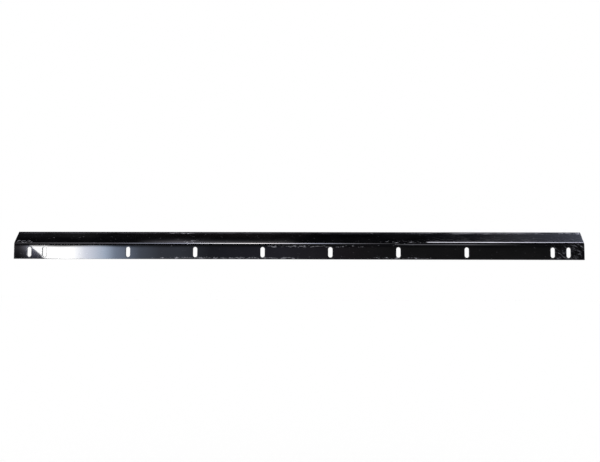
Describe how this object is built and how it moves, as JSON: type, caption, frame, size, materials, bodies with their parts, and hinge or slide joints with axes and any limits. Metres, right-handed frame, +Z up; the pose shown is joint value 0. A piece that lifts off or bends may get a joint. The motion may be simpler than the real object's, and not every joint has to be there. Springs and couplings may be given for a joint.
{
  "type": "snowplow back drag edge",
  "caption": "Long steel plate folded along its length, with a slotted leg that bolts behind a snowplow blade and a plain drag leg that scrapes when the plow backs up.",
  "frame": {"origin": "on the slotted leg's outer face, at the middle of the row of slots", "axes": "+X along the plate, +Z up the slotted leg towards the fold, -Y out of the slotted leg's outer face, which is on the fold's convex side"},
  "size_m": [2.5654, 0.0592, 0.1265],
  "materials": {
    "black_paint": "gloss"
  },
  "bodies": {
    "root": {"drag_edge": "black_paint"}
  },
  "joints": []
}
